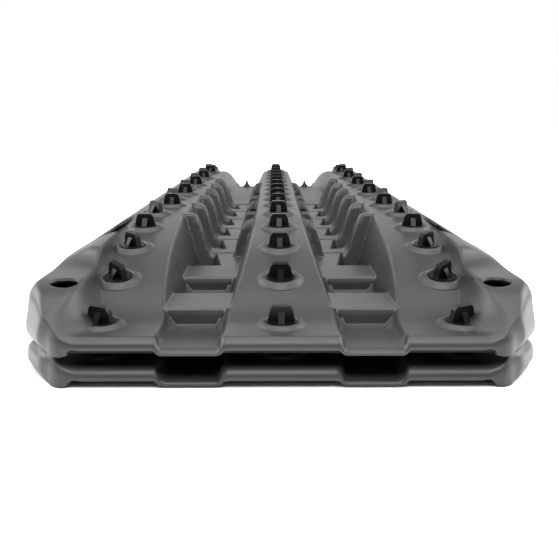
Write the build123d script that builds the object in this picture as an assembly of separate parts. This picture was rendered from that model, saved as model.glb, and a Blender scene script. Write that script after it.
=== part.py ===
"""A nested pair of vehicle recovery boards (tire traction mats).

Each board is one thin moulded deck: a centre ridge and two side ridges that ramp up from both ends,
two channels with cross cleats, fins and a smooth panel, raised shoulders with a flared skirt, four
hand slots and four corner holes. Grip studs sit in ringed bosses along the ridges. The two boards
are the same, and the upper one is nested on the lower one.

Millimetres. X is across the board, Y along it and Z up. The origin is the centre of the stack's
footprint on the ground. A station is a distance from the entry end, which is at -Y.
"""
from build123d import *
import math
import os

# ---- whole board ----
LENGTH = 1150.0
HALF_LENGTH = LENGTH / 2
NEST_PITCH = 19.0          # how far the upper board sits above the lower one
LEVEL_WALL = 4.0           # wall of level surfaces
STEEP_WALL = 3.0           # wall of flanks and skirts
BELOW = -2.0               # prisms start this far under the ground plane
TALL = 62.0                # prisms that are trimmed later reach this high

# ---- skirt ----
RIM_HALF_WIDTH = 158.0     # top edge of the skirt
RIM_Z = 36.5
SKIRT_HALF_WIDTH = 165.0   # bottom edge of the skirt
CORNER_X = 27.0            # plan corner, a straight cut with both its ends rounded
CORNER_Y = 46.0
CORNER_RADIUS_SIDE = 40.0
CORNER_RADIUS_END = 12.0

# ---- ridges and shoulders: (station, height) along the ridge lines, the rest are half widths ----
CROWN_Z = 54.0
RAMP = [(0.0, 11.5), (30.0, 12.0), (91.0, 28.6), (151.0, 41.1), (212.0, 48.4), (272.0, 52.9), (335.0, CROWN_Z)]
HOLE_PAD_Z = 35.5          # level pad round each corner hole
SHOULDER_RAMP = [(0.0, 12.0), (10.0, 21.0), (26.0, 31.5), (46.0, HOLE_PAD_Z), (75.0, HOLE_PAD_Z), (98.0, 38.5),
                 (118.0, 45.5), (132.0, 47.0), (240.0, 51.5), (335.0, CROWN_Z)]
CENTRE_FOOT = 40.0
CENTRE_TOP = 20.0
SIDE_FOOT = 72.3
SIDE_TOP = 89.0
SIDE_OUTER = 131.5         # outer edge of a side ridge's flat top
SHOULDER_FOOT = 123.5      # the shoulder's inner face, where it stands above the ramp
SHOULDER_TOP = 133.0

# ---- channels ----
LOW_FLOOR_Z = 4.0          # channel floor at the two ends
FLOOR_Z = 17.0             # cleat tops and the shelf beside the pockets
PANEL_Z = 18.0             # smooth panel of the far half
CLEATS = [(55.5, 100.0), (157.0, 201.0)]
STEP_LEAN = 4.6            # how far a step's side leans out from its top to the ground
SHELF_START = 192.0
SHELF_EDGE = 55.0
PANEL_START = 679.0
PANEL_END = 960.0
RUN_OUT_END = 1095.0       # the panel slopes down to the low floor here
FIN_COUNT = 6
FIN_PITCH = 83.0
FIRST_FIN_REAR = 290.0
FIN_REAR_LEAN = 10.0       # rear and front faces lean towards each other over the crown height
FIN_FRONT_LEAN = 15.0
FIN_HEAD = 8.5             # thickness at the crown height
FIN_EDGE = [(63.0, FLOOR_Z), (73.0, 42.0), (76.5, 49.0)]
FIN_CREST_X = 84.0

# ---- studs ----
STUD_COUNT = 19            # in each of three rows
STUD_PITCH = 60.4
ROW_WIDE = 114.8           # side rows: most studs
ROW_NARROW = 107.6         # side rows: every second stud on the crown
CROWN_STUDS = range(5, 14)
END_STUD_X = 54.0
END_STUD_STATION = 985.0
BOSS_RADIUS = 15.4
BOSS_TOP_RADIUS = 14.0
BOSS_HEIGHT = 2.0
BOSS_SUNK = 3.0
BOSS_REACH = 127.5         # bosses end here, short of the shoulder's hollow
SEAM_TURN = 37.0           # turns a boss's seam line away from its row's own direction
SEAT_RADIUS = 10.2
SEAT_DEPTH = 1.0
PAD_RADIUS = 11.0
STACK_GAP = 0.35           # between a lower stud and the pad above it
FOOT_RADIUS = 9.6
FOOT_HEIGHT = 1.6
STUD_HEIGHT = 10.5         # above the boss
STUD_BASE = 18.0
STUD_SHOULDER = 14.0
STUD_TOP = 11.0
STUD_THICK = 4.2
GUSSET_REACH = 7.5
GUSSET_HEIGHT = 6.2
SPIGOT_RADIUS = 4.0
SPIGOT_CLEARANCE = 0.05
SPIGOT_BELOW = 12.0

# ---- holes ----
HOLE_RADIUS = 9.4          # corner holes for a mounting pin or a tie
HOLE_X = 141.0
HOLE_STATION = 48.0
COLLAR_RADIUS = 12.5
COLLAR_DROP = 6.0
SLOT_X = 142.0
SLOT_STATION = 225.0
SLOT_LENGTH = 110.0
SLOT_WIDTH = 20.0

MIN_Z = (Align.CENTER, Align.CENTER, Align.MIN)
MAX_Z = (Align.CENTER, Align.CENTER, Align.MAX)


def at(station):
    """Y of a station."""
    return station - HALF_LENGTH


def prism_along(points, start=-5.0, end=LENGTH + 5.0):
    """A prism along the board from an outline of (x, z) points, between two stations."""
    outline = make_face(Polyline(*[(x, at(start), z) for x, z in points], close=True))
    return extrude(outline, amount=end - start, dir=(0, 1, 0))


def prism_across(points, x_low, x_high):
    """A prism across the board from an outline of (station, z) points."""
    outline = make_face(Polyline(*[(x_low, at(station), z) for station, z in points], close=True))
    return extrude(outline, amount=x_high - x_low, dir=(1, 0, 0))


def both_sides(shape):
    """A shape of the right side and its twin on the left."""
    return [shape, mirror(shape, Plane.YZ)]


def lean(low, high, z):
    """x at height z on the straight line through the (x, z) points low and high."""
    return low[0] + (high[0] - low[0]) * (z - low[1]) / (high[1] - low[1])


def ramp_curve(ramp, drop=0.0, x=0.0):
    """A ridge line of the entry half, lowered by drop."""
    points = [Vector(x, at(station), z - drop) for station, z in ramp]
    return Spline(*points, tangents=[points[1] - points[0], Vector(0, 1, 0)])


def ramp_prism(ramp, drop, x_low, x_high):
    """The space under a ridge line that ramps up from both ends, lowered by drop."""
    rise = ramp_curve(ramp, drop, x_low)
    fall = mirror(rise, Plane.XZ)
    start_z = ramp[0][1] - drop
    end = HALF_LENGTH
    crown = Line(rise @ 1, (x_low, -(rise @ 1).Y, (rise @ 1).Z))
    base = Polyline((x_low, end, start_z), (x_low, end, BELOW), (x_low, -end, BELOW), (x_low, -end, start_z))
    outline = make_face(rise.edges() + crown.edges() + fall.edges() + base.edges())
    return extrude(outline, amount=x_high - x_low, dir=(1, 0, 0))


def deck_point(station):
    """Height and slope, in degrees, of the ridge line at a station."""
    mirrored = station > HALF_LENGTH
    if mirrored:
        station = LENGTH - station
    if station >= RAMP[-1][0]:
        return CROWN_Z, 0.0
    curve = ramp_curve(RAMP)
    low, high = 0.0, 1.0
    for _ in range(40):
        middle = (low + high) / 2
        if (curve @ middle).Y < at(station):
            low = middle
        else:
            high = middle
    tangent = curve % low
    slope = math.degrees(math.atan2(tangent.Z, tangent.Y))
    return (curve @ low).Z, -slope if mirrored else slope


def plan_face(inset, z):
    """The board's plan outline at height z, inset from its outer surface."""
    flare = (SKIRT_HALF_WIDTH - RIM_HALF_WIDTH) / RIM_Z * z
    half_x = SKIRT_HALF_WIDTH - flare - inset
    half_y = HALF_LENGTH - flare - inset
    corners = [(half_x, half_y - CORNER_Y), (half_x - CORNER_X, half_y)]
    corners += [(-x, y) for x, y in reversed(corners)]
    corners += [(x, -y) for x, y in reversed(corners)]
    radii = [CORNER_RADIUS_SIDE, CORNER_RADIUS_END, CORNER_RADIUS_END, CORNER_RADIUS_SIDE] * 2
    return Pos(0, 0, z) * make_face(FilletPolyline(*corners, radius=radii, close=True))


def envelope(inset, floor):
    """Everything inside the flared skirt, above the height floor."""
    return loft([plan_face(inset, floor), plan_face(inset, TALL)])


def ridges(wall, drop):
    """Centre ridge, side ridges and shoulders, their sides inset by wall and their tops lowered by drop."""
    flank = ((CENTRE_FOOT - wall, 0), (CENTRE_TOP - wall, CROWN_Z))
    low, high = lean(*flank, BELOW), lean(*flank, TALL)
    centre = prism_along([(-low, BELOW), (low, BELOW), (high, TALL), (-high, TALL)])
    centre = centre & ramp_prism(RAMP, drop, -60, 60)

    flank = ((SIDE_FOOT + wall, 0), (SIDE_TOP + wall, CROWN_Z))
    low, high = lean(*flank, BELOW), lean(*flank, TALL)
    side = prism_along([(low, BELOW), (SIDE_OUTER, BELOW), (SIDE_OUTER, TALL), (high, TALL)])
    side = side & ramp_prism(RAMP, drop, 60, 170)

    slope = (RIM_Z - CROWN_Z) / (RIM_HALF_WIDTH - SIDE_OUTER)
    near, far = SHOULDER_TOP + wall, SKIRT_HALF_WIDTH + 6
    near_z = CROWN_Z + slope * (near - SIDE_OUTER)
    shoulder = prism_along([
        (lean((SHOULDER_FOOT + wall, 0), (near, near_z), BELOW), BELOW),
        (far, BELOW),
        (far, CROWN_Z + slope * (far - SIDE_OUTER) - drop),
        (near, near_z - drop),
    ])
    shoulder = shoulder & ramp_prism(SHOULDER_RAMP, drop, 60, 180)
    return [centre, *both_sides(side), *both_sides(shoulder)]


def shoulder_crest(drop):
    """The wedge between a side ridge's top and its shoulder's inner face, along the crown."""
    slope = (RIM_Z - CROWN_Z) / (RIM_HALF_WIDTH - SIDE_OUTER)
    far = SHOULDER_TOP + 8
    wedge = prism_along([
        (SIDE_OUTER - 4, BELOW),
        (far, BELOW),
        (far, CROWN_Z + slope * (far - SIDE_OUTER) - drop),
        (SIDE_OUTER, CROWN_Z - drop),
        (SIDE_OUTER - 4, CROWN_Z - drop),
    ])
    return both_sides(wedge & ramp_prism(RAMP, drop, 60, 180))


def fin(rear, wall, drop):
    """One fin: a tapered wall from a side ridge's flank down to the shelf. rear is its rear foot's station."""
    head = CROWN_Z - drop - wall / 2
    rear_head = rear - FIN_REAR_LEAN
    front_head = rear_head - FIN_HEAD
    front = ((front_head - FIN_FRONT_LEAN + wall, 0), (front_head + wall, CROWN_Z))
    back = ((rear - wall, 0), (rear_head - wall, CROWN_Z))
    side_view = prism_across([
        (lean(*front, BELOW), BELOW),
        (lean(*front, head), head),
        (lean(*back, head), head),
        (lean(*back, BELOW), BELOW),
    ], 30, 100)
    tips = [(x + wall, z) for x, z in FIN_EDGE]
    foot_z = FLOOR_Z - drop
    end_view = prism_along(
        [(40, BELOW), (40, foot_z), (tips[0][0], foot_z), *tips[1:], (FIN_CREST_X + wall, head), (98, head), (98, BELOW)],
        rear - 60,
        rear + 20,
    )
    return end_view & side_view


def channel_blocks(wall, drop):
    """Cleats, shelves, fins and smooth panels, inset and lowered in the same way."""
    inner, outer = 20.0, 95.0
    top = FLOOR_Z - drop
    foot = STEP_LEAN * (top - BELOW) / FLOOR_Z
    blocks = []
    for start, end in CLEATS:
        start, end = start + wall, end - wall
        outline = [(start - foot, BELOW), (start, top), (end, top), (end + foot, BELOW)]
        blocks += both_sides(prism_across(outline, inner, outer))

    edge = SHELF_EDGE - wall
    outline = [(inner, BELOW), (inner, top), (edge, top), (edge + foot, BELOW)]
    blocks += both_sides(prism_along(outline, SHELF_START, PANEL_START + 10))

    top = PANEL_Z - drop
    front = PANEL_START + wall
    outline = [(front - foot, BELOW), (front, top), (PANEL_END, top), (RUN_OUT_END, LOW_FLOOR_Z - drop),
               (RUN_OUT_END, BELOW)]
    blocks += both_sides(prism_across(outline, inner, outer))

    for number in range(FIN_COUNT):
        blocks += both_sides(fin(FIRST_FIN_REAR + number * FIN_PITCH, wall, drop))
    return blocks


def filled_board(wall, drop):
    """The board as a solid block, or the space inside it when wall and drop are its wall thicknesses."""
    blocks = ridges(wall, drop) + shoulder_crest(drop) + channel_blocks(wall, drop)
    floor = BELOW
    if not drop:
        floor = 0.0
        blocks.append(Box(400, LENGTH + 10, LOW_FLOOR_Z, align=MIN_Z))
    return blocks[0].fuse(*blocks[1:]) & envelope(wall, floor)


def stud_places():
    """(group, x, station, turn) of every stud of one board."""
    first = (LENGTH - (STUD_COUNT - 1) * STUD_PITCH) / 2
    places = []
    for number in range(STUD_COUNT):
        station = first + number * STUD_PITCH
        zone = ("front", "middle", "rear")[min(number // 6, 2)]
        from_end = min(number, STUD_COUNT - 1 - number)
        narrow = number in CROWN_STUDS and number % 2 == 1
        x = ROW_NARROW if narrow else ROW_WIDE
        turn = 22 if from_end == 0 else 0 if narrow or from_end == 3 else 45
        places.append((f"centre_{zone}_studs", 0.0, station, 0))
        places.append((f"right_{zone}_studs", x, station, turn))
        places.append((f"left_{zone}_studs", -x, station, -turn))
    for side in (1, -1):
        places.append(("channel_end_studs", side * END_STUD_X, END_STUD_STATION, 90))
    return places


def seat_of(x, station):
    """The deck's surface at a stud: a location whose Z is the deck's normal, and its slope in degrees."""
    if abs(x) == END_STUD_X:
        slope = math.degrees(math.atan2(LOW_FLOOR_Z - PANEL_Z, RUN_OUT_END - PANEL_END))
        z = PANEL_Z + math.tan(math.radians(slope)) * (station - PANEL_END)
    else:
        z, slope = deck_point(station)
    return Pos(x, at(station), z) * Rot(slope, 0, 0), slope


def pad_depth(slope):
    """How far a pad's face is below the deck's surface, so that it clears the stud under it."""
    return NEST_PITCH * math.cos(math.radians(slope)) - BOSS_HEIGHT - STUD_HEIGHT - STACK_GAP


def boss_and_pad(x, station):
    """The boss that carries a stud, and the pad under it, as one plug through the deck."""
    seat, slope = seat_of(x, station)
    boss = Cone(BOSS_RADIUS, BOSS_TOP_RADIUS, BOSS_HEIGHT, align=MIN_Z)
    root = Cylinder(BOSS_RADIUS, BOSS_SUNK, align=MAX_Z)
    pad = Cylinder(PAD_RADIUS, pad_depth(slope), align=MAX_Z)
    return (seat * Rot(0, 0, SEAM_TURN) * (boss + root + pad)) & Box(2 * BOSS_REACH, LENGTH, 3 * TALL)


def seat_cut(x, station):
    """What a stud needs cut out of its boss."""
    seat, _ = seat_of(x, station)
    recess = Pos(0, 0, BOSS_HEIGHT - SEAT_DEPTH) * Cylinder(SEAT_RADIUS, SEAT_DEPTH + 1, align=MIN_Z)
    bore = Cylinder(SPIGOT_RADIUS + SPIGOT_CLEARANCE, 2 * SPIGOT_BELOW)
    return seat * (recess + bore)


def stud(x, station, turn):
    """A cross-shaped grip stud on a round foot, with a spigot through the deck."""
    seat, slope = seat_of(x, station)
    base = BOSS_HEIGHT - SEAT_DEPTH
    top = STUD_HEIGHT + SEAT_DEPTH
    shoulder = 0.8 * top
    outline = [(-STUD_BASE / 2, 0), (STUD_BASE / 2, 0), (STUD_SHOULDER / 2, shoulder), (STUD_TOP / 2, top),
               (-STUD_TOP / 2, top), (-STUD_SHOULDER / 2, shoulder)]
    plate = extrude(Plane.XZ * make_face(Polyline(*outline, close=True)), amount=STUD_THICK / 2, both=True)
    outline = [(-GUSSET_REACH, 0), (GUSSET_REACH, 0), (STUD_THICK / 2, GUSSET_HEIGHT + FOOT_HEIGHT),
               (-STUD_THICK / 2, GUSSET_HEIGHT + FOOT_HEIGHT)]
    gusset = extrude(Plane.YZ * make_face(Polyline(*outline, close=True)), amount=STUD_THICK / 2, both=True)
    foot = Cylinder(FOOT_RADIUS, FOOT_HEIGHT, align=MIN_Z)
    spigot = Cylinder(SPIGOT_RADIUS, pad_depth(slope) + base, align=MAX_Z)
    return seat * Pos(0, 0, base) * Rot(0, 0, turn) * (plate + gusset + foot + spigot)


def make_deck():
    """One board's moulding."""
    outside = filled_board(0, 0)
    deck = outside - filled_board(STEEP_WALL, LEVEL_WALL)
    places = [(x, station) for _, x, station, _ in stud_places()]
    plugs = [boss_and_pad(*place) for place in places]
    cuts = [seat_cut(*place) for place in places]
    for side in (1, -1):
        for station in (HOLE_STATION, LENGTH - HOLE_STATION):
            centre = Pos(side * HOLE_X, at(station), HOLE_PAD_Z)
            collar = Cylinder(COLLAR_RADIUS, LEVEL_WALL + COLLAR_DROP, align=MAX_Z)
            plugs.append((centre * collar) & outside)
            cuts.append(centre * Cylinder(HOLE_RADIUS, TALL))
        for station in (SLOT_STATION, LENGTH - SLOT_STATION):
            slot = extrude(SlotOverall(SLOT_LENGTH, SLOT_WIDTH, rotation=90), amount=TALL)
            cuts.append(Pos(side * SLOT_X, at(station), 8) * slot)
    return deck.fuse(*plugs).cut(*cuts)


def main():
    os.makedirs("parts", exist_ok=True)
    groups = {"deck": [make_deck()]}
    for group, x, station, turn in stud_places():
        groups.setdefault(group, []).append(stud(x, station, turn))
    for board, height in (("lower", 0.0), ("upper", NEST_PITCH)):
        for group, shapes in groups.items():
            solids = [Pos(0, 0, height) * solid for shape in shapes for solid in shape.solids()]
            whole = solids[0] if len(solids) == 1 else Compound(children=solids)
            export_step(whole, f"parts/{board}_{group}.step")


main()
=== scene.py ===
import math

import bpy
import numpy as np
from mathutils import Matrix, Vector


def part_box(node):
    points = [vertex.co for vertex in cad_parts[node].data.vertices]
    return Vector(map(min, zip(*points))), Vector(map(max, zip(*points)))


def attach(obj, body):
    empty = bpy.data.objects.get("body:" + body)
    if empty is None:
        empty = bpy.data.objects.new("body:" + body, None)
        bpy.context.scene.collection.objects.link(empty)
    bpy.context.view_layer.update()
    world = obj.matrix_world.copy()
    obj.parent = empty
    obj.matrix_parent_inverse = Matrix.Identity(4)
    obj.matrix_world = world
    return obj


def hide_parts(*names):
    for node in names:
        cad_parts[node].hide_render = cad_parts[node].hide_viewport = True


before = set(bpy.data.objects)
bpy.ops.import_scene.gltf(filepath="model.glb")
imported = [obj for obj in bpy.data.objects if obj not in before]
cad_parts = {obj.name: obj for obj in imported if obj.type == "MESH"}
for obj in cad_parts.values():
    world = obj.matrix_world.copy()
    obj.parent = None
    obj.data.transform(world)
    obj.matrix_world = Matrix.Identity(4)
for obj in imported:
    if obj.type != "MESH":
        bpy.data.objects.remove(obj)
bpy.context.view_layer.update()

# ---- sizes, from the frame where it holds them ----
LOW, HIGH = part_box("lower_deck")
LENGTH = (HIGH.y - LOW.y) * 1000
HALF_WIDTH = (HIGH.x - LOW.x) * 500
NEST_PITCH = (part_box("upper_deck")[0].z - LOW.z) * 1000
CROWN_Z = 54.0
RAMP_END = 335.0
RAMP = [(0, 11.5), (30, 12), (91, 28.6), (151, 41.1), (212, 48.4), (272, 52.9), (RAMP_END, CROWN_Z)]
RIM_X, RIM_Z = 158.0, 38.6
# the skirt's height over the distance in from the outline, and the cut that each corner of the outline has
SKIRT = [(0, 0), (0.8, 10), (1.7, 15), (2.9, 20), (3.8, 28), (5.6, 36), (9, 46), (30, 90)]
CORNER_X, CORNER_Y = 27.0, 46.0

# ---- shoulders: height, and the inner face's crest, slope and fillet, over the distance from an end ----
SHOULDER = [(0, 9), (5, 13.5), (12, 20), (20, 26.5), (29, 31.3), (38, 34.2), (47, 35.8), (56, 36.8), (70, 37.2),
            (82, 37.7), (92, 39.8), (100, 43.5), (107, 47.6), (112, 49), (130, 49.6), (240, 52), (RAMP_END, CROWN_Z)]
CREST_X = [(0, 140), (15, 137), (25, 134.7), (45, 131), (60, 130.4), (110, 131.5), (RAMP_END, 133)]
CREST_SLOPE = [(0, 0.9), (25, 1.3), (45, 2.4), (70, 3.6), (110, 5.2), (RAMP_END, 5.6)]
CREST_FOOT = [(0, 12), (40, 14), (100, 13), (150, 6), (200, 2.5)]
# the scoop's wall leans back by up to this share at the rim, from a station and an x on, over a width, and
# not beyond the last two stations
SCOOP_FAN, SCOOP_START, SCOOP_X, SCOOP_WIDTH, SCOOP_FADE = 0.42, 70, 131, 27, (150, 250)

# ---- ridges and channels: foot's x, slope of the face, floor heights ----
SIDE_OUTER = 131.5
CENTRE_FOOT, CENTRE_SLOPE = 40.0, 54 / 20
SIDE_FOOT, SIDE_SLOPE = 72.3, 54 / 16.7
LOW_FLOOR, SHELF_Z, PANEL_Z = 4.4, 17.0, 18.0
UNDER_CENTRE, UNDER_SIDE = (24, 32), (79, 90)       # a channel's heights fade out between these, under the ridges
CLEATS = [(55.5, 100.0), (157.0, 201.0)]
STEP_SLOPE = 17 / 4.6
# a cleat's front face, as (station past its top edge, height): in the panel, on the frame round it, beside them
RISER_PANEL = [(-5.4, 4.4), (-5.1, 5.5), (-4.7, 6.1), (-3.4, 6.3), (-3.0, 7.0), (-2.3, 11.8), (-2.0, 12.7),
               (-0.9, 15.6), (-0.6, 15.9), (-0.3, 16.0), (0.1, 17.0)]
RISER_FRAME = [(-5.4, 4.4), (-5.1, 5.5), (-4.7, 6.6), (-3.4, 10.4), (-2.0, 13.6), (-0.9, 15.6), (-0.6, 15.9),
               (-0.3, 16.0), (0.1, 17.0)]
RISER_BESIDE = [(-2.4, 4.4), (-1.9, 5.6), (-0.6, 15.9), (-0.3, 16.0), (0.1, 17.0)]
RISER_X, RISER_HALF, RISER_BORDER = 56.8, 20.2, 1.9
RISER_TAPER, TAPER_END = 0.3, 25.5      # share of the width lost at the floor, and where beside the middle it ends
# mesh rows at a cleat's front face, as stations past its top edge
RISER_ROWS = (-8.0, -7.0, -6.2, -5.7, -5.4, -5.1, -4.9, -4.7, -4.3, -3.8, -3.4, -3.2, -3.0, -2.65, -2.3, -2.15,
              -2.0, -1.6, -1.2, -0.9, -0.75, -0.6, -0.45, -0.3, -0.15, 0.0, 0.15, 0.6, 1.4)
SHELF_END, PANEL_START, PANEL_END, RUN_OUT_END = 682.0, 679.0, 950.0, 1095.0
POCKETS, POCKET_START, POCKET_PITCH, POCKET_LENGTH = 6, 203.5, 83.0, 60.0
POCKET_X, POCKET_SLANT, POCKET_Z = 50.5, 8.0, 2.0
POCKET_SIDE_SLOPE, POCKET_REAR_SLOPE = 4.5, 5.0
FIN_FRONT_SLOPE, FIN_REAR_SLOPE = 37 / 9, 37 / 7
FIN_EDGE = [(61.5, 17), (65.8, 22), (69.5, 32), (74, 45), (77, 50.5), (84, 55), (100, 56)]
FIN_FOOT, FIN_LIMIT_X = 25.0, 95
RIB_START, RIB_HALF, RIB_INNER_X, RIB_SLOPE = 251.0, 6.0, 20, 6
RIB_EDGE = [(RIB_INNER_X, 55), (27, 52), (33, 44), (37.5, 32), (41, 17), (44, 4)]

# ---- edges: the rolled lip on both open ends, the skirt's swell, the walls and the holes ----
LIP_REACH, LIP_DROP, LIP_SHARE = 7.0, 7.4, 0.77     # length, and drop, which is at most this share of the height
LIP_TO_SKIRT = (124, 134)               # the open end's lip turns into the skirt over these x
LIP_RIB = (8.4, 12.0, 134.0, 0.2)       # a rib under each open end: from, to, half length, lowest point
HEM_END = 8                             # the lower edge is raised this far in from an open end
OFF_END = 50                            # how far the top drops beyond an end, so that slopes see a wall there
BULGE_SIDE, BULGE_CORNER = 0.8, 4.4
BULGE_OUT, BULGE_ALONG = 0.87, 0.49     # the swell's direction: the share of it in x, and along the board
BULGE_TOP, BULGE_SEAM = (26, 50), (15.5, 19.0)      # it fades over these heights: in the open, and when nested
BULGE_NONE = 0.02                       # a smaller swell leaves the exact normals as they are
WALL, SIDE_WALL, THINNEST = 3.2, 2.6, 0.8
HOLES = [(141.0, 48.0, 9.4, 0.0), (142.0, 225.0, 10.0, 45.0)]      # x, station, radius, half length of its axis

# ---- mesh ----
COARSE = 2.2                            # the lower board's grid steps are this much longer
NARROWING_X, INSET_X, INSET_END = 120, 150, 15      # where the grid's columns follow the outline and the inset
SLOPE_STEP = 0.35


def smooth_line(points):
    """A function through (position, value) points, with no overshoot to speak of."""
    p, v = np.array(points, float).T
    steps = np.diff(v) / np.diff(p)
    slope = np.concatenate([[steps[0]], np.where(steps[1:] * steps[:-1] > 0, 2 * steps[1:] * steps[:-1]
                            / np.where(steps[1:] + steps[:-1] == 0, 1, steps[1:] + steps[:-1]), 0), [0]])

    def line(q):
        q = np.clip(q, p[0], p[-1])
        i = np.clip(np.searchsorted(p, q) - 1, 0, len(p) - 2)
        h = p[i + 1] - p[i]
        t = (q - p[i]) / h
        return ((2 * t**3 - 3 * t**2 + 1) * v[i] + (t**3 - 2 * t**2 + t) * h * slope[i]
                + (3 * t**2 - 2 * t**3) * v[i + 1] + (t**3 - t**2) * h * slope[i + 1])

    return line


def corner_line(points):
    """A function through (position, value) points, straight between them."""
    p, v = np.array(points, float).T
    return lambda q: np.interp(q, p, v)


ramp, shoulder_ramp, skirt_line = (smooth_line(line) for line in (RAMP, SHOULDER, SKIRT))
crest_x, crest_slope, crest_foot = (smooth_line(line) for line in (CREST_X, CREST_SLOPE, CREST_FOOT))
fin_edge, rib_edge = smooth_line(FIN_EDGE), smooth_line(RIB_EDGE)
riser_panel, riser_frame, riser_beside = (corner_line(line) for line in (RISER_PANEL, RISER_FRAME, RISER_BESIDE))


def low_of(a, b, k):
    """The lower of two heights, rounded over k."""
    h = np.maximum(k - np.abs(a - b), 0) / k
    return np.minimum(a, b) - h * h * k / 4


def high_of(a, b, k):
    """The higher of two heights, filleted over k."""
    return -low_of(-a, -b, k)


def step_of(value, start, end):
    """0 before start, 1 after end, smooth between."""
    t = np.clip((value - start) / (end - start), 0, 1)
    return t * t * (3 - 2 * t)


def from_end(s):
    """Distance of a station from the nearer end."""
    return np.minimum(s, LENGTH - s)


def inside(a, s):
    """How far a point is inside the plan's outline, which has its corners cut and the cuts' ends rounded."""
    t = from_end(s)
    cut = ((HALF_WIDTH - a) * CORNER_Y + (t - CORNER_Y) * CORNER_X) / math.hypot(CORNER_X, CORNER_Y)
    return low_of(low_of(HALF_WIDTH - a, cut, 5.0), t, 6.0)


# the outline's half width over the distance from an end, looked up on a fine grid
OUTLINE_T = np.concatenate([np.arange(0, 4, 0.05), np.arange(4, 80, 0.5)])
OUTLINE_A = np.linspace(HALF_WIDTH - 45, HALF_WIDTH, 901)
OUTLINE = [OUTLINE_A[max(int(np.sum(inside(OUTLINE_A, t) >= 0)) - 1, 0)] for t in OUTLINE_T]


def half_width(s):
    """Half the plan's width at a station."""
    return np.interp(from_end(s), OUTLINE_T, OUTLINE)


def channel(a, s):
    """Floors, cleats, shelf with its pockets, panel and run-out."""
    z = np.full_like(a, LOW_FLOOR)
    off = np.abs(a - RISER_X)
    beside = step_of(off, RISER_HALF - 0.4, RISER_HALF + 0.4)
    frame_share = step_of(off, RISER_HALF - RISER_BORDER - 0.35, RISER_HALF - RISER_BORDER + 0.35)
    for start, end in CLEATS:
        past = s - start
        face = riser_panel(past) * (1 - frame_share) + riser_frame(past) * frame_share
        face = face * (1 - beside) + riser_beside(past) * beside
        cleat = low_of(face, SHELF_Z + (end - s) * STEP_SLOPE, 0.6)
        z = np.maximum(z, cleat)
    shelf = np.full_like(a, SHELF_Z)
    for n in range(POCKETS):
        start = POCKET_START + n * POCKET_PITCH
        end = start + POCKET_LENGTH
        edge = POCKET_X + POCKET_SLANT * (s - start) / POCKET_LENGTH
        walls = high_of(SHELF_Z - (a - edge) * POCKET_SIDE_SLOPE, SHELF_Z - (s - start) * POCKET_REAR_SLOPE, 5.0)
        walls = high_of(walls, SHELF_Z + (s - end) * FIN_FRONT_SLOPE, 1.5)
        shelf = low_of(shelf, high_of(walls, np.full_like(a, POCKET_Z), 3.0), 1.2)
    z = np.where((s > CLEATS[1][1] - 3) & (s < SHELF_END), shelf, z)
    run = LOW_FLOOR + (PANEL_Z - LOW_FLOOR) * (1 - step_of(s, PANEL_END, RUN_OUT_END))
    panel = low_of(run, PANEL_Z + (s - PANEL_START) * STEP_SLOPE, 1.2)
    return high_of(z, panel, 0.6)


def fins(a, s, deck):
    """Tall fins on the side ridges and low ribs on the centre ridge, none above the ridges' tops."""
    z = np.zeros_like(a)
    for n in range(POCKETS):
        front = POCKET_START + n * POCKET_PITCH + POCKET_LENGTH
        rear = front + FIN_FOOT
        body = low_of(SHELF_Z + (s - front) * FIN_FRONT_SLOPE, SHELF_Z + (rear - s) * FIN_REAR_SLOPE, 6.0)
        z = np.maximum(z, low_of(low_of(body, fin_edge(a), 4.0), deck, 1.5))
        middle = RIB_START + n * POCKET_PITCH
        past = s - middle
        rib = low_of(SHELF_Z + (past + RIB_HALF) * RIB_SLOPE, SHELF_Z + (RIB_HALF - past) * RIB_SLOPE, 6.0)
        z = np.maximum(z, low_of(low_of(rib, np.where(a > RIB_INNER_X, rib_edge(a), 0), 4.0), deck, 1.5))
    return z


def deck_height(x, s):
    """Height of a board's top surface."""
    a, t = np.abs(x), from_end(s)
    deck = ramp(t)
    centre = low_of(deck, (CENTRE_FOOT - a) * CENTRE_SLOPE, 5.0)
    outer = CROWN_Z + (SIDE_OUTER - a) * (CROWN_Z - RIM_Z) / (RIM_X - SIDE_OUTER)
    side = low_of(low_of(deck, outer, 3.0), (a - SIDE_FOOT) * SIDE_SLOPE, 5.0)
    fan = SCOOP_FAN * np.clip((a - SCOOP_X) / SCOOP_WIDTH, 0, 1) * (1 - step_of(t, *SCOOP_FADE))
    rise = low_of(shoulder_ramp(t - np.maximum(t - SCOOP_START, 0) * fan), outer, 3.0)
    face = rise + 1.5 + (a - crest_x(t)) * crest_slope(t)
    z = high_of(side, low_of(rise, face, 3.0), crest_foot(t))
    z = high_of(z, centre, 1.0)
    z = high_of(z, np.where(a < FIN_LIMIT_X, fins(a, s, deck), 0), 1.5)
    z = high_of(z, channel(a, s) - CROWN_Z * (step_of(a, *UNDER_SIDE) + 1 - step_of(a, *UNDER_CENTRE)), 2.5)
    edge = step_of(a, *LIP_TO_SKIRT)
    drop = np.minimum(LIP_DROP, LIP_SHARE * z)
    q = np.clip(t / LIP_REACH, 0, 1)
    lip = z - drop * (1 - np.sqrt(np.maximum(1 - (1 - q) ** 2, 0))) - np.where(t < 0, OFF_END, 0)
    skirt = low_of(z, skirt_line(inside(a, s)), 4.0 + 6.0 * (1 - step_of(t, 40, 110)))
    return lip * (1 - edge) + skirt * edge


def hem_height(x, s):
    """Height of the shell's lower edge: on the ground, but higher along the two open ends."""
    a = np.abs(x)
    t = np.full_like(a, LIP_REACH + 2)
    z = deck_height(x, t)
    open_end = (1 - step_of(a, *LIP_TO_SKIRT)) * (from_end(s) < HEM_END)
    return np.maximum(z - np.minimum(LIP_DROP, LIP_SHARE * z), 0) * open_end


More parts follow.
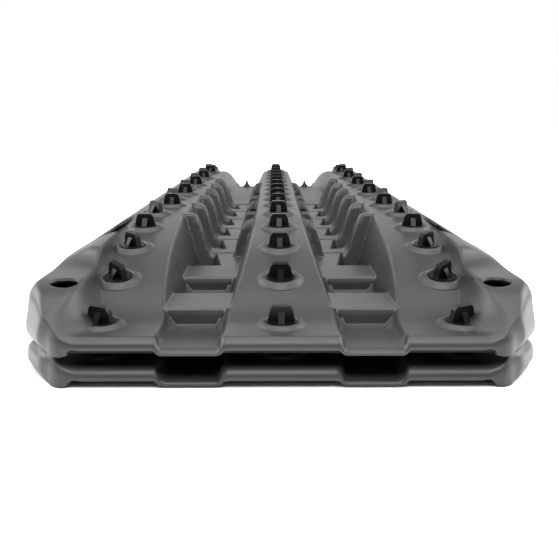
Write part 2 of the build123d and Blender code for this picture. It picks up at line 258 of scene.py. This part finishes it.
def grid_lines(spans, keep):
    """Sorted grid positions: even steps over each (start, end, step) span, and the positions in keep."""
    even = np.concatenate([np.arange(start, end, step) for start, end, step in spans])
    even = even[np.min(np.abs(even[:, None] - np.array(keep)[None, :]), axis=1) > 0.35]
    return np.unique(np.concatenate([even, keep]))


def board_grid(fine):
    """The columns (in x) and rows (in stations) of a board's mesh."""
    k = 1.0 if fine else COARSE
    edges = [HALF_WIDTH - e for e in (0, 0.5, 1.1, 1.8, 2.6, 3.6, 4.6, 5.6, 6.6, 7.6, 8.8, 10)]
    rounds = [x + r for x, _, r, _ in HOLES] + [x - r for x, _, r, _ in HOLES]
    columns = grid_lines([(0, 18, 3.5 * k), (18, 36, 1.3 * k), (36, 39, 0.45 * k), (39, 75, 1.8 * k),
                          (75, 78, 0.45 * k), (78, 92, 1.6 * k), (92, 116, 3.5 * k), (116, 156, 1.3 * k)],
                         edges + rounds)
    columns = np.concatenate([-columns[::-1], columns[columns > 1e-6]]) if columns[0] < 1e-6 else columns
    ends = [0, 0.15, 0.4, 0.8, 1.4, 2.1, 3, 4.2, 5.4, 6.8, 8.1, 8.5, 10.2, 11.9, 12.3]
    holes = [s + side * (r + h) for _, s, r, h in HOLES for side in (-1, 1)]
    risers = [start + past for start, _ in CLEATS for past in (RISER_ROWS if fine else RISER_ROWS[::3])]
    near = grid_lines([(13, 66, 1.3 * k), (66, 132, 1.8 * k), (132, 152, 3 * k), (152, RAMP_END, 1.9 * k)],
                      ends + holes + risers)
    middle = grid_lines([(RAMP_END, 706, 1.9 * k), (706, LENGTH - RAMP_END, 5 * k)], [RAMP_END])
    far = LENGTH - grid_lines([(13, 140, 2.8 * k), (140, RAMP_END, 4 * k)], ends + holes + [RAMP_END])[::-1]
    return columns, np.unique(np.round(np.concatenate([near, middle, far]), 4))


def round_holes(x, s):
    """Grid lines bent into round hole edges. Also which points are on or in a hole."""
    cut = np.zeros(x.shape, bool)
    for hole_x, hole_s, radius, half in HOLES:
        for side in (-1, 1):
            for station in (hole_s, LENGTH - hole_s):
                dx, ds = x - side * hole_x, s - station
                axis = np.clip(ds, -half, half)
                over = ds - axis
                square = np.maximum(np.abs(dx), np.abs(over))
                true = np.maximum(np.sqrt(dx * dx + over * over), 1e-9)
                share = np.clip((2 * radius - square) / radius, 0, 1)
                scale = 1 + share * (square / true - 1)
                cut |= square < radius + 1e-3
                near = square < 2 * radius
                x = np.where(near, side * hole_x + dx * scale, x)
                s = np.where(near, station + axis + over * scale, s)
    return x, s, cut


def plan(columns, rows, inset):
    """Plan positions of the grid's points, its outermost ones on the outline, or inset from it."""
    u, v = np.meshgrid(columns, rows)
    u, v, cut = round_holes(u, v)
    a = np.abs(u)
    reach = (half_width(v) - NARROWING_X) / (HALF_WIDTH - NARROWING_X)
    a = np.where(a > NARROWING_X, NARROWING_X + (a - NARROWING_X) * reach, a)
    a = a - inset * np.clip((np.abs(u) - INSET_X) / (HALF_WIDTH - INSET_X), 0, 1)
    moved = inset * np.clip(1 - from_end(v) / INSET_END, 0, 1)
    v = np.where(v < LENGTH / 2, v + moved, v - moved)
    return np.sign(u) * a, v, cut


def taper_risers(x, s, z):
    """The cleats' framed panels narrow towards the floor."""
    a = np.abs(x)
    for start, _ in CLEATS:
        past = s - start
        share = step_of(past, -12, -6) * (1 - step_of(past, 0, 1))
        share = share * (1 - step_of(np.abs(a - RISER_X), RISER_HALF + 1, TAPER_END))
        narrow = 1 - share * (SHELF_Z - z) / (SHELF_Z - LOW_FLOOR) * RISER_TAPER
        a = RISER_X + (a - RISER_X) * narrow
    return np.sign(x) * a


def bulge(x, s, z, top):
    """How far, in x and along the board, the skirt swells out between its hem and the height top."""
    a, t = np.abs(x), from_end(s)
    corner = step_of(t, 1, 16) * (1 - step_of(t, 48, 95))
    swell = BULGE_SIDE + (BULGE_CORNER - BULGE_SIDE) * corner
    swell = swell * step_of(z, -1.5, 8) * (1 - step_of(z, *top))
    swell = swell * (1 - step_of(inside(a, s), 3, 20)) * step_of(t, 1, 16)
    wide = np.minimum(a + BULGE_OUT * swell, np.maximum(HALF_WIDTH - BULGE_NONE, a)) - a
    return np.sign(x) * wide, np.sign(s - LENGTH / 2) * BULGE_ALONG * swell * corner


def underside(x, s):
    """Height of the shell's inner surface."""
    z = deck_height(x, s)
    for k in range(8):
        angle = math.pi * k / 4
        z = np.minimum(z, deck_height(x + SIDE_WALL * math.cos(angle), s + SIDE_WALL * math.sin(angle)))
    start, end, reach, lowest = LIP_RIB
    t = from_end(s)
    z = np.where((t > start) & (t < end) & (np.abs(x) < reach), lowest + WALL, z)
    return np.maximum(z - WALL, hem_height(x, s))


def board_mesh(name, fine, height):
    """One board's deck at its height in the nest: a closed shell with its holes."""
    columns, rows = board_grid(fine)
    x, s, cut = plan(columns, rows, 0.0)
    z = deck_height(x, s)
    border = np.ones(x.shape, bool)
    border[1:-1, 1:-1] = False
    z = np.where(border, hem_height(x, s), np.maximum(z, hem_height(x, s)))
    x = taper_risers(x, s, z)
    xb, sb, _ = plan(columns, rows, SIDE_WALL + 0.4)
    zb = np.minimum(underside(xb, sb), z - THINNEST)
    zb = np.where(border, hem_height(x, s), np.maximum(zb, 0))
    aside, along = bulge(x, s, z, BULGE_TOP if height else BULGE_SEAM)
    x_out, s_out, xb, sb = x + aside, s + along, xb + aside, sb + along
    slope_x = (deck_height(x + SLOPE_STEP, s) - deck_height(x - SLOPE_STEP, s)) / (2 * SLOPE_STEP)
    slope_s = (deck_height(x, s + SLOPE_STEP) - deck_height(x, s - SLOPE_STEP)) / (2 * SLOPE_STEP)
    normals = np.stack([-slope_x, -slope_s, np.ones_like(z)], axis=-1).reshape(-1, 3)
    normals /= np.linalg.norm(normals, axis=1)[:, None]

    index = np.arange(x.size).reshape(x.shape)
    quads = np.stack([index[:-1, :-1], index[:-1, 1:], index[1:, 1:], index[1:, :-1]], axis=-1)
    gone = cut[:-1, :-1] & cut[:-1, 1:] & cut[1:, 1:] & cut[1:, :-1]
    top = quads[~gone]
    bottom = top[:, ::-1] + x.size
    edges = np.concatenate([top[:, [k, (k + 1) % 4]] for k in range(4)])
    twin = {(b, a) for a, b in edges.tolist()}
    walls = np.array([(b, a, a + x.size, b + x.size) for a, b in edges.tolist() if (a, b) not in twin])
    faces = np.concatenate([top, bottom, walls])
    points = np.concatenate([np.stack([x_out, s_out - LENGTH / 2, z + height], -1).reshape(-1, 3),
                             np.stack([xb, sb - LENGTH / 2, zb + height], -1).reshape(-1, 3)]) / 1000
    used = np.unique(faces)
    renumber = np.zeros(len(points), int)
    renumber[used] = np.arange(len(used))
    mesh = bpy.data.meshes.new(name)
    mesh.from_pydata(points[used].tolist(), [], renumber[faces].tolist())
    mesh.update()
    mesh.shade_smooth()
    own = np.zeros(len(used) * 3)
    mesh.vertex_normals.foreach_get("vector", own)
    own = own.reshape(-1, 3)
    upper = used < x.size
    exact = upper.copy()
    exact[upper] = (np.hypot(aside, along) < BULGE_NONE).reshape(-1)[used[upper]]
    own[exact] = normals[used[exact]]
    mesh.normals_split_custom_set_from_vertices(own.tolist())
    return mesh


def add(name, mesh, body, material):
    """A piece of the visual model on its body."""
    piece = bpy.data.objects.new(name, mesh)
    bpy.context.scene.collection.objects.link(piece)
    mesh.materials.clear()
    mesh.materials.append(material)
    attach(piece, body)
    return piece


# ---- bosses ----
STUD_COUNT, STUD_PITCH = 19, 60.4
ROW_WIDE, ROW_NARROW = 114.8, 107.6
NARROW_FROM, NARROW_TO = 5, 13          # of these studs in a side row, every other one stands further in
END_STUD_X, END_STUD_STATION = 54.0, 985.0
FRAME_RUN_OUT = (960, 18.0), (1095, 4.0)        # the frame's sloping channel floor: (station, height) of its ends
BORE = 4.05
# (radius, height over the deck) round one ring's section
BOSS_PROFILE = [(BORE, -6.1), (10.6, -6.1), (11.0, -5.7), (11.0, -2.6), (16.6, -2.6), (17.6, -1.0), (17.3, -0.35),
                (16.6, 0.1), (15.8, 0.6), (15.0, 1.2), (14.2, 1.85), (13.5, 2.3), (12.8, 2.6), (12.1, 2.7),
                (11.5, 2.6), (11.0, 2.25), (10.6, 1.75), (10.3, 1.3), (10.1, 1.0), (BORE, 1.0)]


def stud_places():
    """(x, station) of every stud of one board."""
    first = (LENGTH - (STUD_COUNT - 1) * STUD_PITCH) / 2
    places = [(side * END_STUD_X, END_STUD_STATION) for side in (-1, 1)]
    for n in range(STUD_COUNT):
        narrow = NARROW_FROM <= n <= NARROW_TO and n % 2 == 1
        for x in (0.0, ROW_NARROW if narrow else ROW_WIDE, -(ROW_NARROW if narrow else ROW_WIDE)):
            places.append((x, first + n * STUD_PITCH))
    return places


def seat_of(x, station):
    """Height and slope of the frame's deck at a stud."""
    if abs(x) == END_STUD_X:
        (start, start_z), (end, end_z) = FRAME_RUN_OUT
        slope = (end_z - start_z) / (end - start)
        return start_z + slope * (station - start), slope
    t = min(station, LENGTH - station)
    slope = float(ramp(np.array(t + 1)) - ramp(np.array(t - 1))) / 2
    return float(ramp(np.array(t))), slope if station < LENGTH / 2 else -slope


def boss_mesh(name, segments, height):
    """Every boss of one board as turned rings."""
    profile = np.array(BOSS_PROFILE)
    turn = np.arange(segments) * 2 * math.pi / segments
    ring = np.stack([profile[:, 0, None] * np.cos(turn), profile[:, 0, None] * np.sin(turn),
                     profile[:, 1, None] + 0 * turn], axis=-1)
    points, faces = [], []
    for x, station in stud_places():
        z, slope = seat_of(x, station)
        angle = math.atan(slope)
        tilt = np.array([[1, 0, 0], [0, math.cos(angle), -math.sin(angle)], [0, math.sin(angle), math.cos(angle)]])
        base = len(points) * ring.shape[0] * segments
        points.append(ring.reshape(-1, 3) @ tilt.T + [x, station - LENGTH / 2, z + height])
        for i in range(len(profile)):
            j = (i + 1) % len(profile)
            for k in range(segments):
                m = (k + 1) % segments
                faces.append((base + i * segments + k, base + i * segments + m, base + j * segments + m,
                              base + j * segments + k))
    mesh = bpy.data.meshes.new(name)
    mesh.from_pydata((np.concatenate(points) / 1000).tolist(), [], faces)
    mesh.update()
    mesh.shade_smooth()
    mesh.set_sharp_from_angle(angle=math.radians(50))
    return mesh


# ---- materials ----
GRAIN_SCALE, GRAIN_DEPTH = 1400, 0.0002
FLOW_SCALE, FLOW_DARK, FLOW_LIGHT = 14, 0.86, 1.16      # faint flow marks, and how far they shift the colour


def plastic(name, colour, roughness, grain, specular):
    """Moulded plastic: fine texture, faint flow marks and slightly uneven gloss."""
    material = bpy.data.materials.new(name)
    material.use_nodes = True
    nodes, links = material.node_tree.nodes, material.node_tree.links
    shader = nodes["Principled BSDF"]
    shader.inputs["Specular IOR Level"].default_value = specular
    place = nodes.new("ShaderNodeTexCoord")
    fine = nodes.new("ShaderNodeTexNoise")
    fine.inputs["Scale"].default_value = GRAIN_SCALE
    fine.inputs["Detail"].default_value = 3
    wide = nodes.new("ShaderNodeTexNoise")
    wide.inputs["Scale"].default_value = FLOW_SCALE
    wide.inputs["Detail"].default_value = 5
    wide.inputs["Roughness"].default_value = 0.6
    for noise in (fine, wide):
        links.new(place.outputs["Object"], noise.inputs["Vector"])
    tone = nodes.new("ShaderNodeValToRGB")
    tone.color_ramp.elements[0].position = 0.3
    tone.color_ramp.elements[1].position = 0.75
    tone.color_ramp.elements[0].color = (*[c * FLOW_DARK for c in colour], 1)
    tone.color_ramp.elements[1].color = (*[min(c * FLOW_LIGHT, 1) for c in colour], 1)
    links.new(wide.outputs["Fac"], tone.inputs["Fac"])
    links.new(tone.outputs["Color"], shader.inputs["Base Color"])
    gloss = nodes.new("ShaderNodeMapRange")
    gloss.inputs["From Min"].default_value = 0.3
    gloss.inputs["From Max"].default_value = 0.7
    gloss.inputs["To Min"].default_value = roughness - 0.04
    gloss.inputs["To Max"].default_value = roughness + 0.05
    links.new(wide.outputs["Fac"], gloss.inputs["Value"])
    links.new(gloss.outputs["Result"], shader.inputs["Roughness"])
    bump = nodes.new("ShaderNodeBump")
    bump.inputs["Strength"].default_value = grain
    bump.inputs["Distance"].default_value = GRAIN_DEPTH
    links.new(fine.outputs["Fac"], bump.inputs["Height"])
    links.new(bump.outputs["Normal"], shader.inputs["Normal"])
    return material


def soften_stud(node, material):
    """Rounded edges on the frame's own studs."""
    weld = node.modifiers.new("weld", "WELD")
    weld.merge_threshold = 0.00002
    bevel = node.modifiers.new("bevel", "BEVEL")
    bevel.width = 0.0006
    bevel.segments = 3
    bevel.limit_method = "ANGLE"
    bevel.angle_limit = math.radians(28)
    bevel.harden_normals = True
    node.data.materials.clear()
    node.data.materials.append(material)


# ---- stage ----
WORLD_BY_HEIGHT = [(-1, 1.0), (0.3, 1.12), (0.45, 0.05), (0.8, 0.02)]       # (direction's Z, radiance)
WORLD_BY_DEPTH = [(-1, 0.2), (-0.8, 0.35), (-0.4, 0.8), (0.5, 1.0)]         # (direction's Y, share of it)
WHITE = (1, 1, 1, 1)
FLOOR_HALF, FLOOR_Z = 30, -0.0003
FLOOR_GLOW, SHADOW_REACH, SHADOW_DARK = 0.92, 0.04, 0.55    # the floor's glow and its painted shadow: the glow fades where little of the sky within this reach is open
CAMERA_LENS, CAMERA_SENSOR = 48.45, 36
CAMERA_PLACE = (-0.0053, LOW.y - 0.430, 0.1578)
CAMERA_DOWN, CAMERA_TURN = 11.92, -0.47                     # degrees
# name, place, aim, size, watts
LIGHTS = [("top_light", (0, -0.1, 1.6), (0, 0, 0), (1.4, 1.4), 21),
          ("front_light", (0, -1.35, 1.45), (0, -0.55, 0), (1.6, 0.7), 30),
          ("left_light", (-1.45, 0, 1.0), (0, 0, 0), (1.8, 1.3), 36),
          ("right_light", (1.45, 0, 1.0), (0, 0, 0), (1.8, 1.3), 36),
          ("back_light", (0, 1.9, 1.0), (0, 0, 0), (2.4, 0.8), 4)]


def flat_mesh(name, half, z):
    """A square face at a height."""
    mesh = bpy.data.meshes.new(name)
    mesh.from_pydata([(-half, -half, z), (half, -half, z), (half, half, z), (-half, half, z)], [], [(0, 1, 2, 3)])
    return mesh


def softbox(name, place, aim, size, power):
    """A rectangular area light at a place, turned to its aim."""
    data = bpy.data.lights.new(name, "AREA")
    data.shape = "RECTANGLE"
    data.size, data.size_y = size
    data.energy = power
    lamp = bpy.data.objects.new(name, data)
    bpy.context.scene.collection.objects.link(lamp)
    lamp.location = place
    lamp.rotation_euler = (Vector(aim) - Vector(place)).to_track_quat("-Z", "Y").to_euler()


def build_floor():
    """A pale floor that glows, with a painted shadow: the glow is dimmed where the boards stand over it."""
    floor = bpy.data.objects.new("floor", flat_mesh("floor", FLOOR_HALF, FLOOR_Z))
    bpy.context.scene.collection.objects.link(floor)
    material = bpy.data.materials.new("floor")
    material.use_nodes = True
    shader = material.node_tree.nodes["Principled BSDF"]
    shader.inputs["Base Color"].default_value = (0.9, 0.9, 0.9, 1)
    shader.inputs["Roughness"].default_value = 0.9
    shader.inputs["Emission Color"].default_value = WHITE
    # painted shadow: the floor's glow follows the ambient occlusion, so the floor is dark under and beside the
    # boards
    open_sky = material.node_tree.nodes.new("ShaderNodeAmbientOcclusion")
    open_sky.inputs["Distance"].default_value = SHADOW_REACH
    glow_and_painted_shadow = material.node_tree.nodes.new("ShaderNodeMapRange")
    glow_and_painted_shadow.inputs["From Min"].default_value = SHADOW_DARK
    glow_and_painted_shadow.inputs["To Max"].default_value = FLOOR_GLOW
    material.node_tree.links.new(open_sky.outputs["AO"], glow_and_painted_shadow.inputs["Value"])
    material.node_tree.links.new(glow_and_painted_shadow.outputs["Result"], shader.inputs["Emission Strength"])
    floor.data.materials.append(material)


def build_world():
    """A studio that is bright low down and dim above and in front, and plain white to the camera."""
    world = bpy.data.worlds.new("studio")
    bpy.context.scene.world = world
    world.use_nodes = True
    nodes, links = world.node_tree.nodes, world.node_tree.links
    place = nodes.new("ShaderNodeTexCoord")
    axes = nodes.new("ShaderNodeSeparateXYZ")
    links.new(place.outputs["Generated"], axes.inputs["Vector"])
    strength = nodes.new("ShaderNodeMath")
    strength.operation = "MULTIPLY"
    for factor, (axis, stops) in zip(strength.inputs, (("Z", WORLD_BY_HEIGHT), ("Y", WORLD_BY_DEPTH))):
        spread = nodes.new("ShaderNodeMapRange")
        spread.inputs["From Min"].default_value = -1
        links.new(axes.outputs[axis], spread.inputs["Value"])
        band = nodes.new("ShaderNodeValToRGB")
        band.color_ramp.interpolation = "EASE"
        while len(band.color_ramp.elements) < len(stops):
            band.color_ramp.elements.new(0.5)
        for element, (where, value) in zip(band.color_ramp.elements, stops):
            element.position = (where + 1) / 2
            element.color = (value, value, value, 1)
        links.new(spread.outputs["Result"], band.inputs["Fac"])
        links.new(band.outputs["Color"], factor)
    studio, backdrop = nodes["Background"], nodes.new("ShaderNodeBackground")
    studio.inputs["Color"].default_value = WHITE
    links.new(strength.outputs["Value"], studio.inputs["Strength"])
    backdrop.inputs["Color"].default_value = WHITE
    path = nodes.new("ShaderNodeLightPath")
    either = nodes.new("ShaderNodeMixShader")
    links.new(path.outputs["Is Camera Ray"], either.inputs["Fac"])
    links.new(studio.outputs["Background"], either.inputs[1])
    links.new(backdrop.outputs["Background"], either.inputs[2])
    links.new(either.outputs["Shader"], nodes["World Output"].inputs["Surface"])


def build_camera():
    """The camera at the fitted place."""
    data = bpy.data.cameras.new("camera")
    data.lens = CAMERA_LENS
    data.sensor_width = CAMERA_SENSOR
    camera = bpy.data.objects.new("camera", data)
    bpy.context.scene.collection.objects.link(camera)
    camera.location = CAMERA_PLACE
    camera.rotation_euler = (math.radians(90 - CAMERA_DOWN), 0, math.radians(CAMERA_TURN))
    bpy.context.scene.camera = camera


build_camera()
build_floor()
build_world()
for light in LIGHTS:
    softbox(*light)
bpy.context.scene.view_settings.view_transform = "Standard"
board_plastic = plastic("board_plastic", (0.021, 0.0212, 0.0203), 0.42, 0.25, 0.5)
# the studs' plastic: a near-black copy of the board's plastic, painted shade on the studs
stud_plastic_painted_shade = plastic("stud_plastic_painted_shade", (0.003, 0.003, 0.003), 0.34, 0.2, 0.2)
for board, height, fine in (("lower", 0.0, False), ("upper", NEST_PITCH, True)):
    body = f"{board}_board"
    shell = add(f"{board}_shell", board_mesh(f"{board}_shell", fine, height), body, board_plastic)
    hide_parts(f"{board}_deck")
    add(f"{board}_bosses", boss_mesh(f"{board}_bosses", 48 if fine else 24, height), body, board_plastic)
for name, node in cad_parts.items():
    if name.endswith("_studs"):
        soften_stud(node, stud_plastic_painted_shade)
